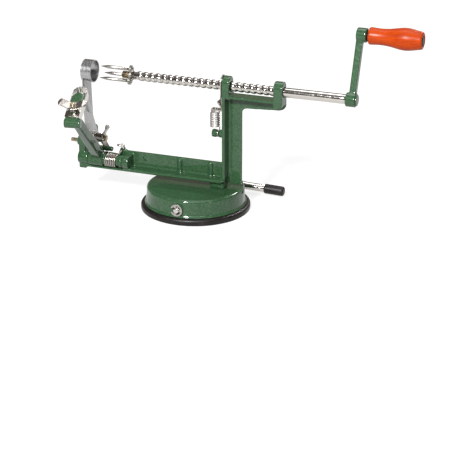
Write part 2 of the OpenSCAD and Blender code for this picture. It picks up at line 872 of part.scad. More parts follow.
// Slicing knife: a tapered strip that carries the coring ring on the shaft's axis
module knife_outline() {
  notch_y = peg_y + peg_d / 2 + knife_notch;
  notch_z = peg_z + peg_d / 2 + knife_notch;
  polygon([[knife_front, notch_z], [notch_y, notch_z], [notch_y, knife_z - knife_foot],
    [knife_back, knife_z - knife_foot], [knife_back, knife_z + knife_foot / 2],
    [knife_y, knife_z] + knife_shoulder, [knife_y, knife_z] + knife_waist,
    [ring_r * 0.93, shaft_z - knife_neck_drop],
    [ring_r * 0.82, shaft_z - ring_r * 0.5], [-ring_r * 0.9, shaft_z - ring_r * 0.4],
    [-knife_belly, shaft_z - knife_belly_drop], [knife_front, knife_z + knife_front_rise]]);
}

module slicing_knife() {
  color(steel) difference() {
    union() {
      slab_x(end_x, knife_x) knife_outline();
      bar_x(end_x - ring_back, end_x - ring_back + ring_l, 2 * ring_r, 0, shaft_z);
    }
    bar_x(end_x - ring_back - over, end_x + ring_l + over, ring_d, 0, shaft_z);
    bar_x(end_x - over, knife_x + over, knife_bolt_d + 2 * seat_gap, knife_y, knife_z);
    bar_x(end_x - over, knife_x + over, stop_d + 2 * free_gap, stop_y, stop_z);
  }
}

module knife_bolt() {
  x0 = end_x - end_t;
  color(zinc) {
    bar_x(x0 - 0.5, knife_nut_x + knife_nut_l + wing_t + bolt_end, knife_bolt_d, knife_y, knife_z);
    translate([x0, knife_y, knife_z]) rotate([0, -90, 0]) rotate_extrude() difference() {
      block(0, 0, carriage_head_d / 2, carriage_head_h);
      corner_cut(carriage_head_d / 2, carriage_head_h, carriage_head_h - 0.6, -1, -1);
    }
  }
}

module knife_washer() {
  color(steel) difference() {
    bar_x(knife_x, knife_nut_x, washer_d, knife_y, knife_z);
    bar_x(knife_x - over, knife_nut_x + over, knife_bolt_d + 2 * seat_gap, knife_y, knife_z);
  }
}

// Pressed wing nut along +Z: a round collar under a strip with two raised ears
module wing_outline(top) {
  for (side = [-1, 1]) scale([side, 1]) {
    block(-over, top - wing_tuck, wing_foot, top + wing_t);
    translate([wing_foot, top]) rotate(wing_angle) {
      block(-wing_tuck, 0, wing_ear_l, wing_t);
      translate([wing_ear_l - wing_tuck, 0.1]) rotate(wing_tip_turn) block(-wing_tuck, 0, wing_tip_l, wing_t);
    }
  }
}

module wing_nut(bolt_d, collar_l) {
  difference() {
    union() {
      cylinder(h = collar_l, d = nut_d);
      intersection() {
        slab_y(-wing_w / 2, wing_w / 2) wing_outline(collar_l);
        linear_extrude(collar_l + wing_reach)
          round_block(-wing_reach, -wing_w / 2, wing_reach, wing_w / 2, wing_w / 2 - 0.2);
      }
    }
    translate([0, 0, -over]) cylinder(h = collar_l + wing_t + 2 * over, d = bolt_d + 2 * seat_gap);
  }
}

module knife_wing_nut() {
  color(chrome) translate([knife_nut_x, knife_y, knife_z]) rotate([0, 90, 0])
    wing_nut(knife_bolt_d, knife_nut_l);
}

// Peeling arm and its pivot
module pivot_pin() {
  color(steel) bar_x(end_x - end_t, wall_x + wall_t - wall_skin - seat_gap, pivot_d, pivot_y, pivot_z);
}

module stop_pin() {
  color(zinc) bar_x(stop_x0, stop_x1, stop_d, stop_y, stop_z);
}

// Point of the arm spring's coil at angle a from the back; the wire runs to the back over the top
function arm_coil_point(x, a) =
  [x, pivot_y + arm_coil_r * cos(a), pivot_z + arm_coil_r * sin(a)];
arm_coil_start = 90 + 360 * arm_turns;
arm_coil_n = coil_steps * arm_turns;
// The wire's end goes through the ear and closes in a flat loop over it
curl_r = 2.65;
curl_z = ear_z + 4.1;
curl_x = ear_x - curl_r + 0.05;
back_y = frame_back + arm_wire / 2 + 0.6;
function curl_point(a) = [curl_x + curl_r * cos(a), peg_y + curl_r * sin(a), curl_z];
arm_spring_path = concat(
  [arm_coil_point(seat_x0 - 2.2, arm_coil_start), arm_coil_point(seat_x0 + 0.6, arm_coil_start),
    arm_coil_point(arm_coil_x0 - 0.9, arm_coil_start - 14)],
  [for (i = [1:arm_coil_n])
    arm_coil_point(arm_coil_x0 + arm_coil_l * i / arm_coil_n, arm_coil_start - 360 * i / coil_steps)],
  [[ear_x - 0.9, pivot_y + 4, pivot_z + arm_coil_r + 0.5], [ear_x, web_front - 1.4, ear_z - 0.1],
    [ear_x, web_front + 0.2, ear_z], [ear_x, frame_back - 0.2, ear_z], [ear_x, back_y - 0.4, ear_z + 0.3],
    [ear_x, back_y, ear_z + 1.2], [ear_x, back_y, ear_z + 2.8], [ear_x - 0.2, back_y - 0.2, curl_z - 0.4]],
  [for (a = [60:30:330]) curl_point(a)]);

module arm_spring() {
  color(steel) tube(arm_spring_path, arm_wire, [0, -1, 0]);
}

// Places its children in the blade holder's frame: X across, Y to the back, Z along the arm's tip
module in_holder() {
  translate([blade_x, blade_y, blade_z]) rotate([-blade_lean, 0, blade_yaw]) children();
}

// Rounds of the arm: the wide knee under the blade, the neck below it and the root at the barrel
module knee_round(half, inset = 0) {
  in_holder() bar_x(knee_x - half, knee_x + half, 2 * (knee_r - inset), knee_y, knee_z, $fn = 32);
}

module neck_round(inset = 0) {
  l = neck_half - inset;
  bar_x(neck_x - l, neck_x + l, 2 * (neck_r - inset), neck_y, neck_z, $fn = 32);
}

module peeling_arm() {
  color(green) difference() {
    union() {
      bar_x(barrel_x0, seat_x0, barrel_d, pivot_y, pivot_z);
      bar_x(seat_x0 - over, seat_x1 + over, spring_seat_d, pivot_y, pivot_z);
      bar_x(seat_x1, barrel_x1, collar_d, pivot_y, pivot_z);
      hull() {
        bar_x(root_x - root_half, root_x + root_half, 2 * root_r, root_y, root_z, $fn = 32);
        neck_round();
      }
      hull() {
        neck_round(tuck);
        knee_round(knee_core, tuck);
        in_holder() slab_y(tip_front + tuck, blade_depth - tuck)
          block(tuck - tip_half, tip_base, tip_half - tuck, tip_base + tip_base_h);
      }
      knee_round(knee_half);
      in_holder() slab_y(tip_front, blade_depth) {
        block(-tip_half, 0, tip_half, tip_round_z);
        translate([0, tip_round_z]) circle(tip_half);
      }
    }
    bar_x(barrel_x0 - over, barrel_x1 + over, pivot_d + 2 * run_gap, pivot_y, pivot_z);
    in_holder() bar_y(-over, blade_bolt_y + seat_gap, blade_bolt_d + 2 * seat_gap, 0, blade_bolt_z);
    translate([0, pivot_y, pivot_z]) rotate([arm_coil_start, 0, 0]) translate([0, -pivot_y, -pivot_z])
      bar_x(seat_x0 - 3, seat_x0 + over, arm_wire + 2 * free_gap, pivot_y + arm_coil_r, pivot_z);
  }
}

module peeling_blade() {
  half = blade_w / 2;
  color(chrome) in_holder() difference() {
    union() {
      slab_y(0, strip_t) block(-half, 0, half, plate_h);
      for (x = [-half, half - strip_t]) slab_x(x, x + strip_t)
        polygon([[0, 0], [blade_depth, side_cut], [blade_depth, blade_side_h], [arch_front, blade_side_h],
          [arch_front, plate_h + plate_step], [0, plate_h]]);
      slab_y(arch_front, blade_depth) difference() {
        translate([0, blade_side_h]) circle(half);
        translate([0, blade_side_h]) circle(half - strip_t);
        block(-half - over, 0, half + over, blade_side_h);
      }
    }
    bar_y(-over, strip_t + over, blade_bolt_d + 2 * seat_gap, 0, blade_bolt_z);
    bar_y(-over, strip_t + over, blade_hole_d, 0, blade_hole_z);
  }
}

module blade_bolt() {
  color(zinc) in_holder()
    bar_y(-blade_nut_l - wing_t - bolt_end, blade_bolt_y, blade_bolt_d, 0, blade_bolt_z);
}

module blade_wing_nut() {
  color(chrome) in_holder() translate([0, 0, blade_bolt_z]) rotate([90, 0, 0])
    wing_nut(blade_bolt_d, blade_nut_l);
}

// Feed latch
module latch_outline() {
  slot_half = latch_screw_d / 2 + slide_gap;
  head_z = window_bottom - latch_foot_h;
  difference() {
    union() {
      translate([0, latch_top - latch_w / 2]) circle(latch_w / 2);
      round_block(-latch_w / 2, head_z, latch_w / 2, latch_top - latch_w / 2 + latch_foot_r, latch_foot_r);
      block(-tongue_half, shelf_z, tongue_half, head_z + over);
    }
    difference() {
      block(-window_half, window_bottom, window_half, window_top);
      block(-tooth_half, shaft_z + thread_root_r + tooth_gap, tooth_half, window_top + over);
    }
    translate([0, latch_screw_z]) circle(slot_half);
    translate([0, latch_screw_z - latch_lift]) circle(slot_half);
    block(-slot_half, latch_screw_z - latch_lift, slot_half, latch_screw_z);
  }
}

module latch_plate() {
  tab_z = shelf_z + tab_foot;
  color(steel) difference() {
    union() {
      slab_x(latch_x0, latch_x1) latch_outline();
      slab_y(-shelf_half, shelf_half) block(coil_x - shelf_reach, shelf_z, latch_x1, shelf_z + shelf_t);
      slab_y(-tab_half, tab_half) polygon([
        [latch_x0 + tab_tuck, tab_z], [latch_x0 - tab_reach, tab_z + tab_rise],
        [latch_x0 - tab_reach + tab_t, tab_z + tab_rise + tab_t * 0.5],
        [latch_x0 + tab_tuck, tab_z + tab_t * 1.7]]);
    }
    translate([coil_x, 0, shelf_z - over]) cylinder(h = shelf_t + 2 * over, d = shelf_hole_d);
  }
}

module latch_screw() {
  head_x = latch_x0 - slide_gap;
  color(steel) {
    bar_x(head_x - screw_cap, front_lug_x + latch_screw_l, latch_screw_d, 0, latch_screw_z);
    bar_x(head_x - latch_head_t, head_x, latch_head_d, 0, latch_screw_z);
  }
}

// Point of the latch spring's coil at angle a from the crank side
function coil_point(r, a, z) = [coil_x + r * cos(a), r * sin(a), z];
function loop_point(a) = [stud_neck_x, loop_r * cos(a), stud_z + loop_r * sin(a)];
latch_coil_n = coil_steps * latch_turns;
latch_spring_path = concat(
  [for (i = [9:-1:0]) loop_point(-30 * i)],
  [[stud_neck_x, loop_r, stud_z + 2], [(stud_neck_x + coil_x + coil_r) / 2, loop_r * 0.6, coil_bottom - 1.8]],
  [for (i = [0:latch_coil_n])
    coil_point(coil_r, 360 * i / coil_steps, coil_bottom + (coil_top - coil_bottom) * i / latch_coil_n)],
  [coil_point(coil_r * 0.6, 360 * latch_turns + 60, coil_top + 0.5),
    coil_point(coil_r * 0.2, 360 * latch_turns + 120, coil_top + 0.9),
    coil_point(0, 0, shelf_z - 0.2), coil_point(0, 0, shelf_z + shelf_t + 0.3),
    coil_point(0.5, 0, shelf_z + shelf_t + 0.8), coil_point(1.4, 0, shelf_z + shelf_t + 1),
    coil_point(2.6, 0, shelf_z + shelf_t + 1)]);

module latch_spring() {
  color(steel) tube(latch_spring_path, latch_wire, [1, 0, 0]);
}

// Feed shaft: four lines of one lead are swept round the axis and closed by a point at each end
thread_line = [[0, thread_root_r], [groove_w, thread_root_r],
  [groove_w + flank_w, crest_r], [pitch - flank_w, crest_r]];
function thread_r(k, j) = thread_root_r + (thread_line[j][1] - thread_root_r) * min(1, k / root_ramp);

module thread() {
  n = thread_sides;
  last = n * thread_turns;
  start_point = 4 * (last + 1);
  points = concat(
    [for (k = [0:last]) for (j = [0:3]) let (a = 360 * k / n, r = thread_r(k, j))
      [thread_x + pitch * k / n + thread_line[j][0], r * cos(a), shaft_z + r * sin(a)]],
    [[thread_x, 0, shaft_z], [thread_x + pitch * thread_turns, 0, shaft_z]]);
  flanks = [for (k = [0:last - 1]) for (j = [0:2]) let (a = 4 * k + j)
    each [[a, a + 5, a + 4], [a, a + 1, a + 5]]];
  roots = [for (k = [0:last - n - 1]) let (a = 4 * k + 3, d = 4 * (k + n))
    each [[a, d + 4, a + 4], [a, d, d + 4]]];
  first_loop = concat([for (k = [0:n]) 4 * k], [3, 2, 1, 0]);
  last_loop = concat([for (k = [0:n]) 4 * (last - k) + 3], [for (j = [0:3]) 4 * last + j]);
  caps = concat(
    [for (i = [0:len(first_loop) - 2]) [start_point, first_loop[i], first_loop[i + 1]]],
    [for (i = [0:len(last_loop) - 2]) [start_point + 1, last_loop[i], last_loop[i + 1]]]);
  polyhedron(points, concat(flanks, roots, caps));
}

module feed_shaft() {
  color(chrome) {
    thread();
    bar_x(fork_x1, thread_x + pitch + groove_w, 2 * thread_root_r + 0.04, 0, shaft_z);
    bar_x(fork_x0 - fork_nut_l + fork_nut_cap, fork_x1 + over, fork_stub_d, 0, shaft_z);
    bar_x(plain_x, crank_x, shaft_d, 0, shaft_z);
    bar_x(crank_x - over, crank_x + hub_l - seat_gap, crank_end_d, 0, shaft_z);
  }
}

// Fork
module fork_plate() {
  color(steel) difference() {
    slab_x(fork_x0, fork_x1) translate([0, shaft_z]) {
      circle(fork_hub_r);
      for (i = [0:2]) rotate(prong_turn + 120 * i) {
        translate([prong_circle, 0]) circle(fork_lobe_r);
        block(0, -fork_lobe_r * 0.8, prong_circle, fork_lobe_r * 0.8);
      }
    }
    bar_x(fork_x0 - over, fork_x1 + over, fork_stub_d + 2 * seat_gap, 0, shaft_z);
    at_prongs() bar_x(fork_x0 - over, fork_x1 + over, prong_d * 0.7 + 2 * seat_gap);
  }
}

module at_prongs() {
  translate([0, 0, shaft_z]) for (i = [0:2]) rotate([prong_turn + 120 * i, 0, 0])
    translate([0, prong_circle, 0]) children();
}

module fork_prongs() {
  tip_x = fork_x0 - prong_l;
  color(steel) at_prongs() {
    bar_x(tip_x + prong_tip_l, fork_x0, prong_d);
    translate([tip_x, 0, 0]) rotate([0, 90, 0]) cylinder(h = prong_tip_l, d1 = 0.5, d2 = prong_d);
    bar_x(fork_x0 - over, fork_x1 + 0.5, prong_d * 0.7);
    bar_x(fork_x1, fork_x1 + prong_head_t, prong_head_d);
  }
}

module fork_nut() {
  color(zinc) difference() {
    bar_x(fork_x0 - fork_nut_l, fork_x0, fork_nut_d, 0, shaft_z);
    bar_x(fork_x0 - fork_nut_l + fork_nut_cap - seat_gap, fork_x0 + over, fork_stub_d + 2 * seat_gap,
      0, shaft_z);
  }
}

// Crank
module crank() {
  color(green) difference() {
    union() {
      bar_x(crank_x, crank_x + hub_l, hub_d, 0, shaft_z);
      slab_x(crank_bar_x, crank_bar_x + bar_t) translate([0, shaft_z]) rotate(-crank_lean) {
        block(-bar_w / 2, 0, bar_w / 2, crank_r);
        translate([0, crank_r]) circle(d = boss_d);
      }
      bar_x(crank_bar_x, crank_bar_x + boss_l, boss_d, pin_y, pin_z);
    }
    bar_x(crank_x - over, crank_x + hub_l + over, crank_end_d + 2 * seat_gap, 0, shaft_z);
    bar_x(crank_bar_x - over, crank_bar_x + boss_l + over, grip_pin_d + 2 * seat_gap, pin_y, pin_z);
  }
}

module crank_rivet() {
  x = crank_x + hub_l + 0.05;
  color(green) translate([x, 0, shaft_z]) rotate([0, 90, 0]) rotate_extrude() difference() {
    block(0, 0, rivet_d / 2, rivet_h);
    corner_cut(rivet_d / 2, rivet_h, rivet_edge_r, -1, -1);
  }
}

module grip_pin() {
  end_x = grip_x + grip_l - grip_cup_h;
  color(black) {
    bar_x(crank_bar_x, end_x, grip_pin_d, pin_y, pin_z);
    bar_x(crank_bar_x + boss_l, crank_bar_x + boss_l + collar_l - free_gap, grip_collar_d, pin_y, pin_z);
    bar_x(end_x + free_gap, end_x + free_gap + 1, pin_head_d, pin_y, pin_z);
    bar_x(end_x - over, end_x + free_gap + over / 2, grip_pin_d, pin_y, pin_z);
  }
}

// Radius of the turned grip at a share t of its length
function bump(t, centre, width) = exp(-pow((t - centre) / width, 2));
function grip_profile(t) =
  grip_neck_d / 2 + (grip_end_d - grip_neck_d) / 2 * bump(t, 0, 0.16)
  + (grip_d - grip_neck_d) / 2 * bump(t, 0.68, 0.26);

module wooden_grip() {
  steps = 28;
  color(wood) translate([grip_x, pin_y, pin_z]) rotate([0, 90, 0]) difference() {
    rotate_extrude() polygon(concat([[0, 0]],
      [for (i = [0:steps]) [grip_profile(i / steps) - (i == 0 || i == steps ? 0.6 : 0), grip_l * i / steps]],
      [[0, grip_l]]));
    translate([0, 0, -over]) cylinder(h = grip_l + 2 * over, d = grip_pin_d + 2 * run_gap);
    translate([0, 0, grip_l - grip_cup_h]) cylinder(h = grip_cup_h + over, d = grip_cup_d);
  }
}

echo(str("arm spring, least gap to itself: ", least_gap(arm_spring_path, arm_wire, 5)));
echo(str("latch spring, least gap to itself: ", least_gap(latch_spring_path, latch_wire, 5)));

base_housing();
suction_pad();
pad_stud();
lever_rod();
lever_grip();
retaining_clip();
frame_casting();
frame_screws();
slicing_knife();
knife_bolt();
knife_washer();
knife_wing_nut();
pivot_pin();
arm_spring();
stop_pin();
peeling_arm();
peeling_blade();
blade_bolt();
blade_wing_nut();
latch_plate();
latch_screw();
latch_spring();
feed_shaft();
fork_plate();
fork_prongs();
fork_nut();
crank();
crank_rivet();
grip_pin();
wooden_grip();
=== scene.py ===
"""Looks of the hand-cranked fruit peeler: enamelled castings, bright shaft, wound springs and turned wood."""

import json
import math

import bpy
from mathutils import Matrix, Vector

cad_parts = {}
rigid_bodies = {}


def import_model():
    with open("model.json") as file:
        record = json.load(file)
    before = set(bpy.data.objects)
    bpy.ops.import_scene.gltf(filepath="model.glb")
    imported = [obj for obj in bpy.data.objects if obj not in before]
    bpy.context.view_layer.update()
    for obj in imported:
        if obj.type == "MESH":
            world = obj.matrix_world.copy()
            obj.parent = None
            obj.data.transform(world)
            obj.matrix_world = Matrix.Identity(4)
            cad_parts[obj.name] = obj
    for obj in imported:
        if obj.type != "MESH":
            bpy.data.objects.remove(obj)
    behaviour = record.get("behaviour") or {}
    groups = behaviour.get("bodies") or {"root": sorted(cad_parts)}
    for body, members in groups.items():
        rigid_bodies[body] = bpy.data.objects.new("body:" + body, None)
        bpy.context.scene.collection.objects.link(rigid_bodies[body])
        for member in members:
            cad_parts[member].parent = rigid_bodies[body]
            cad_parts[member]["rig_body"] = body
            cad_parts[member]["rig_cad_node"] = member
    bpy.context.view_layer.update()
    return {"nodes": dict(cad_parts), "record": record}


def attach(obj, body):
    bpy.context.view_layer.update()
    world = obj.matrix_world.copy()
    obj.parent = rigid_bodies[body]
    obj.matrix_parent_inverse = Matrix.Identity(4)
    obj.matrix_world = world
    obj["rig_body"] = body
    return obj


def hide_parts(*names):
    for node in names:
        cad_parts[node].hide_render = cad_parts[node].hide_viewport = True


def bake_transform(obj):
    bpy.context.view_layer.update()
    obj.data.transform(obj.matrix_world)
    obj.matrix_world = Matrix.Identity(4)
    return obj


MM = 0.001
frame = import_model()


# Finishes


class Wire:
    """One socket of a finish, with the operators that add Math nodes."""

    def __init__(self, finish, socket):
        self.finish = finish
        self.socket = socket

    def _math(self, operation, other):
        return self.finish.add("ShaderNodeMath", {"operation": operation}, {0: self, 1: other})

    def __add__(self, other):
        return self._math("ADD", other)

    def __mul__(self, other):
        return self._math("MULTIPLY", other)


class Finish:
    """A material whose nodes are added by type, settings and sockets."""

    def __init__(self, name, **values):
        self.material = bpy.data.materials.new(name)
        self.material.use_nodes = True
        self.tree = self.material.node_tree
        self.shader = self.tree.nodes["Principled BSDF"]
        self.place = self.add("ShaderNodeTexCoord", out="Object")
        for socket, value in values.items():
            self.set(socket.replace("_", " "), value)

    def join(self, value, socket):
        if isinstance(value, Wire):
            self.tree.links.new(value.socket, socket)
        else:
            socket.default_value = value

    def add(self, kind, settings=None, sockets=None, out=0):
        node = self.tree.nodes.new(kind)
        for key, value in (settings or {}).items():
            setattr(node, key, value)
        for key, value in (sockets or {}).items():
            self.join(value, node.inputs[key])
        return Wire(self, node.outputs[out])

    def set(self, socket, value):
        self.join(value, self.shader.inputs[socket])

    def at(self, stretch):
        return self.add("ShaderNodeMapping", {"vector_type": "TEXTURE"}, {
            "Vector": self.place, "Scale": stretch})

    def noise(self, scale, detail=2.0, rough=0.5, place=None, twist=0.0):
        return self.add("ShaderNodeTexNoise", None, {
            "Vector": place or self.place, "Scale": scale, "Detail": detail, "Roughness": rough,
            "Distortion": twist})

    def cells(self, scale):
        return self.add("ShaderNodeTexVoronoi", {"feature": "SMOOTH_F1"}, {
            "Vector": self.place, "Scale": scale, "Smoothness": 0.6}, out="Distance")

    def spread(self, value, low, high, to_low=0.0, to_high=1.0):
        return self.add("ShaderNodeMapRange", {"interpolation_type": "SMOOTHSTEP"}, {
            "Value": value, "From Min": low, "From Max": high, "To Min": to_low, "To Max": to_high})

    def mix(self, factor, a, b):
        return self.add("ShaderNodeMix", {"data_type": "RGBA"}, {0: factor, 6: a, 7: b}, out=2)

    def bump(self, height, distance, strength):
        normal = self.add("ShaderNodeBump", None, {
            "Height": height, "Distance": distance, "Strength": strength}, out="Normal")
        self.set("Normal", normal)


class Sky(Finish):
    """The studio around the object, with nodes added as to a finish."""

    def __init__(self, name):
        world = bpy.data.worlds.new(name)
        world.use_nodes = True
        bpy.context.scene.world = world
        self.tree = world.node_tree
        self.shader = self.tree.nodes["Background"]
        self.place = self.add("ShaderNodeTexCoord", out="Generated")


def hammered_enamel():
    f = Finish("green_hammered_enamel", Specular_IOR_Level=0.06, Coat_Roughness=0.05, Coat_IOR=1.5)
    cell = f.cells(680.0)
    cloud = f.noise(70.0, 4.0, 0.6)
    fine = f.noise(1900.0, 2.0)
    vein = f.spread(cell, 0.25, 0.75)
    green = f.mix(cloud, (0.0095, 0.034, 0.0130, 1), (0.0135, 0.045, 0.0187, 1))
    f.set("Base Color", f.mix(vein * 0.5, green, (0.036, 0.076, 0.034, 1)))
    f.set("Metallic", vein * 0.05)
    f.set("Roughness", cloud * 0.16 + 0.34)
    f.set("Coat Weight", f.spread(cloud, 0.3, 0.7, 0.60, 0.80))
    f.bump(cell * 0.8 + fine * 0.12, 0.00016, 0.55)
    return f.material


def bright_plate(name, rings):
    f = Finish(name, Specular_IOR_Level=0.5)
    haze = f.noise(260.0, 4.0, 0.6)
    fine = f.noise(90.0, 5.0, 0.7, f.at((0.04, 1, 1)))
    f.set("Base Color", f.mix(haze, (0.46, 0.43, 0.40, 1), (0.58, 0.56, 0.53, 1)))
    f.set("Metallic", 1.0)
    f.set("Roughness", f.spread(haze, 0.3, 0.75, 0.08, 0.20))
    f.bump(fine, 0.00003, rings)
    return f.material


def ground_steel(name, light, dark, grain):
    f = Finish(name, Specular_IOR_Level=0.5)
    scratch = f.noise(900.0, 3.0, 0.65, f.at(grain))
    haze = f.noise(120.0, 4.0, 0.6)
    f.set("Base Color", f.mix(scratch * 0.5 + haze * 0.4, dark, light))
    f.set("Metallic", 1.0)
    f.set("Roughness", f.spread(scratch, 0.2, 0.8, 0.22, 0.40))
    f.bump(scratch, 0.00004, 0.5)
    return f.material


def yellow_zinc():
    f = Finish("yellow_zinc", Specular_IOR_Level=0.5)
    tint = f.noise(180.0, 4.0, 0.65, twist=0.6)
    warm = f.mix(f.spread(tint, 0.35, 0.65), (0.30, 0.23, 0.13, 1), (0.40, 0.35, 0.27, 1))
    f.set("Base Color", f.mix(f.spread(tint, 0.6, 0.8), warm, (0.32, 0.29, 0.28, 1)))
    f.set("Metallic", 1.0)
    f.set("Roughness", f.spread(tint, 0.3, 0.7, 0.22, 0.36))
    f.bump(f.noise(1600.0, 2.0), 0.00003, 0.4)
    return f.material


def black_rubber():
    f = Finish("black_rubber", Specular_IOR_Level=0.25)
    dust = f.noise(140.0, 5.0, 0.65)
    grain = f.noise(2600.0, 3.0, 0.6)
    clean, dusty = (0.0045, 0.0034, 0.0030, 1), (0.013, 0.0105, 0.0095, 1)
    f.set("Base Color", f.mix(f.spread(dust, 0.5, 0.8), clean, dusty))
    f.set("Roughness", f.spread(dust, 0.3, 0.8, 0.34, 0.58))
    f.bump(grain, 0.00006, 0.5)
    return f.material


def black_oxide():
    f = Finish("black_oxide", Specular_IOR_Level=0.5)
    rub = f.noise(300.0, 4.0, 0.6)
    black, worn = (0.012, 0.011, 0.010, 1), (0.06, 0.055, 0.05, 1)
    f.set("Base Color", f.mix(f.spread(rub, 0.5, 0.8), black, worn))
    f.set("Metallic", 0.8)
    f.set("Roughness", rub * 0.2 + 0.3)
    f.bump(rub, 0.00003, 0.4)
    return f.material


def lacquered_wood():
    f = Finish("orange_lacquered_wood", Specular_IOR_Level=0.06, Coat_Roughness=0.28, Coat_IOR=1.5)
    along = f.at((9.0, 1, 1))
    streak = f.noise(420.0, 5.0, 0.62, along, 0.8)
    pore = f.noise(1500.0, 3.0, 0.5, along)
    cloud = f.noise(60.0, 3.0, 0.5)
    tone = f.mix(f.spread(streak, 0.3, 0.72), (0.300, 0.032, 0.0012, 1), (0.195, 0.0155, 0.0008, 1))
    deep = f.mix(f.spread(pore, 0.6, 0.78), tone, (0.135, 0.009, 0.0008, 1))
    f.set("Base Color", f.mix(cloud * 0.3, deep, (0.35, 0.046, 0.002, 1)))
    f.set("Roughness", f.spread(streak, 0.3, 0.7, 0.30, 0.42))
    f.set("Coat Weight", f.spread(cloud, 0.3, 0.7, 0.10, 0.18))
    f.bump(streak * 0.6 + pore * 0.5, 0.00006, 0.5)
    return f.material


ENAMEL = hammered_enamel()
PLATE = bright_plate("bright_plate", 0.12)
MIRROR = bright_plate("mirror_plate", 0.01)
BLADE = ground_steel("ground_blade_steel", (0.44, 0.44, 0.44, 1), (0.28, 0.28, 0.28, 1), (1, 1, 12))
STEEL = ground_steel("plain_steel", (0.46, 0.44, 0.41, 1), (0.28, 0.27, 0.25, 1), (1, 6, 1))
SPRING = ground_steel("spring_wire", (0.56, 0.51, 0.47, 1), (0.30, 0.27, 0.25, 1), (1, 1, 1))
NICKEL = ground_steel("satin_nickel", (0.42, 0.40, 0.37, 1), (0.26, 0.24, 0.22, 1), (6, 1, 1))
ZINC = yellow_zinc()
RUBBER = black_rubber()
OXIDE = black_oxide()
WOOD = lacquered_wood()

SLOTS = {"green_enamel": ENAMEL, "black_rubber": RUBBER, "plain_steel": STEEL, "blade_steel": BLADE,
         "spring_steel": SPRING, "bright_chrome": PLATE, "yellow_zinc": ZINC, "black_oxide": OXIDE,
         "orange_wood": WOOD}
RECORD = frame["record"]
NODE_SLOT = {part["node"]: part["material_slot"] for part in RECORD["subparts"]}
NODE_BODY = {node: body for body, nodes in RECORD["behaviour"]["bodies"].items() for node in nodes}


def dress(piece, material):
    piece.data.materials.clear()
    piece.data.materials.append(material)


for node_name, node_piece in frame["nodes"].items():
    dress(node_piece, SLOTS[NODE_SLOT[node_name]])


# Modelling

CAD_MERGE = 0.01 * MM
MERGE = 0.005 * MM
SEAM_MERGE = 0.002 * MM
ROUND_ANGLE = 32
WIRE_BEVEL = 5


def clear():
    if bpy.context.object and bpy.context.object.mode != "OBJECT":
        bpy.ops.object.mode_set(mode="OBJECT")
    bpy.ops.object.select_all(action="DESELECT")


def pick(piece):
    clear()
    piece.select_set(True)
    bpy.context.view_layer.objects.active = piece


def modify(piece, kind, **settings):
    pick(piece)
    bpy.ops.object.modifier_add(type=kind)
    modifier = piece.modifiers[-1]
    for key, value in settings.items():
        setattr(modifier, key, value)
    bpy.ops.object.modifier_apply(modifier=modifier.name)


def smooth(piece, angle):
    pick(piece)
    bpy.ops.object.shade_smooth_by_angle(angle=math.radians(angle))


def outwards(piece):
    """Merges what the modifiers left double and turns the faces outwards."""
    pick(piece)
    bpy.ops.object.mode_set(mode="EDIT")
    bpy.ops.mesh.select_all(action="SELECT")
    bpy.ops.mesh.remove_doubles(threshold=MERGE)
    bpy.ops.mesh.normals_make_consistent(inside=False)
    bpy.ops.object.mode_set(mode="OBJECT")


def close_ends(piece):
    """Fills the open ends of a swept skin."""
    pick(piece)
    bpy.ops.object.mode_set(mode="EDIT")
    bpy.ops.mesh.select_all(action="SELECT")
    bpy.ops.mesh.remove_doubles(threshold=MERGE)
    bpy.ops.mesh.fill_holes(sides=0)
    bpy.ops.object.mode_set(mode="OBJECT")


def settle(piece):
    pick(piece)
    bpy.ops.object.transform_apply(location=True, rotation=True, scale=True)


def joined(name, *parts):
    pick(parts[0])
    for part in parts[1:]:
        part.select_set(True)
    bpy.ops.object.join()
    parts[0].name = name
    return parts[0]


def stand_for(piece, *nodes):
    """The piece takes the place, body, slot and finish of the CAD nodes that it is made for."""
    first = nodes[0]
    dress(piece, SLOTS[NODE_SLOT[first]])
    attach(piece, NODE_BODY[first])
    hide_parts(*nodes)
    return piece


def line(name, points):
    """A line of edges, drawn point by point, in millimetres."""
    clear()
    bpy.ops.mesh.primitive_plane_add(size=MM)
    piece = bpy.context.active_object
    piece.name = name
    bpy.ops.object.mode_set(mode="EDIT")
    bpy.ops.mesh.select_all(action="SELECT")
    bpy.ops.mesh.merge(type="CENTER")
    here = Vector((0, 0, 0))
    for i, point in enumerate(points):
        step = (Vector(point) - here) * MM
        here = Vector(point)
        if i == 0:
            bpy.ops.transform.translate(value=step)
        else:
            bpy.ops.mesh.extrude_region_move(TRANSFORM_OT_translate={"value": step})
    bpy.ops.object.mode_set(mode="OBJECT")
    return piece


def turned(name, profile, centre, sides=72):
    """A turned piece along X: the profile is a list of places along the axis and radii."""
    piece = line(name, [(x, r, 0) for x, r in profile])
    modify(piece, "SCREW", axis="X", angle=math.tau, steps=sides, render_steps=sides, use_merge_vertices=True,
           merge_threshold=SEAM_MERGE)
    outwards(piece)
    piece.location = Vector(centre) * MM
    settle(piece)
    return piece


def wire(name, points, diameter):
    """A bent wire along the points."""
    piece = line(name, points)
    pick(piece)
    bpy.ops.object.convert(target="CURVE")
    piece = bpy.context.active_object
    bpy.ops.object.mode_set(mode="EDIT")
    bpy.ops.curve.select_all(action="SELECT")
    bpy.ops.curve.spline_type_set(type="NURBS")
    bpy.ops.object.mode_set(mode="OBJECT")
    for spline in piece.data.splines:
        spline.order_u = 4
        spline.use_endpoint_u = True
        spline.resolution_u = 2
    piece.data.dimensions = "3D"
    piece.data.bevel_depth = diameter * MM / 2
    piece.data.bevel_resolution = WIRE_BEVEL
    piece.data.use_fill_caps = True
    bpy.ops.object.convert(target="MESH")
    piece = bpy.context.active_object
    piece.name = name
    outwards(piece)
    smooth(piece, 50)
    return piece


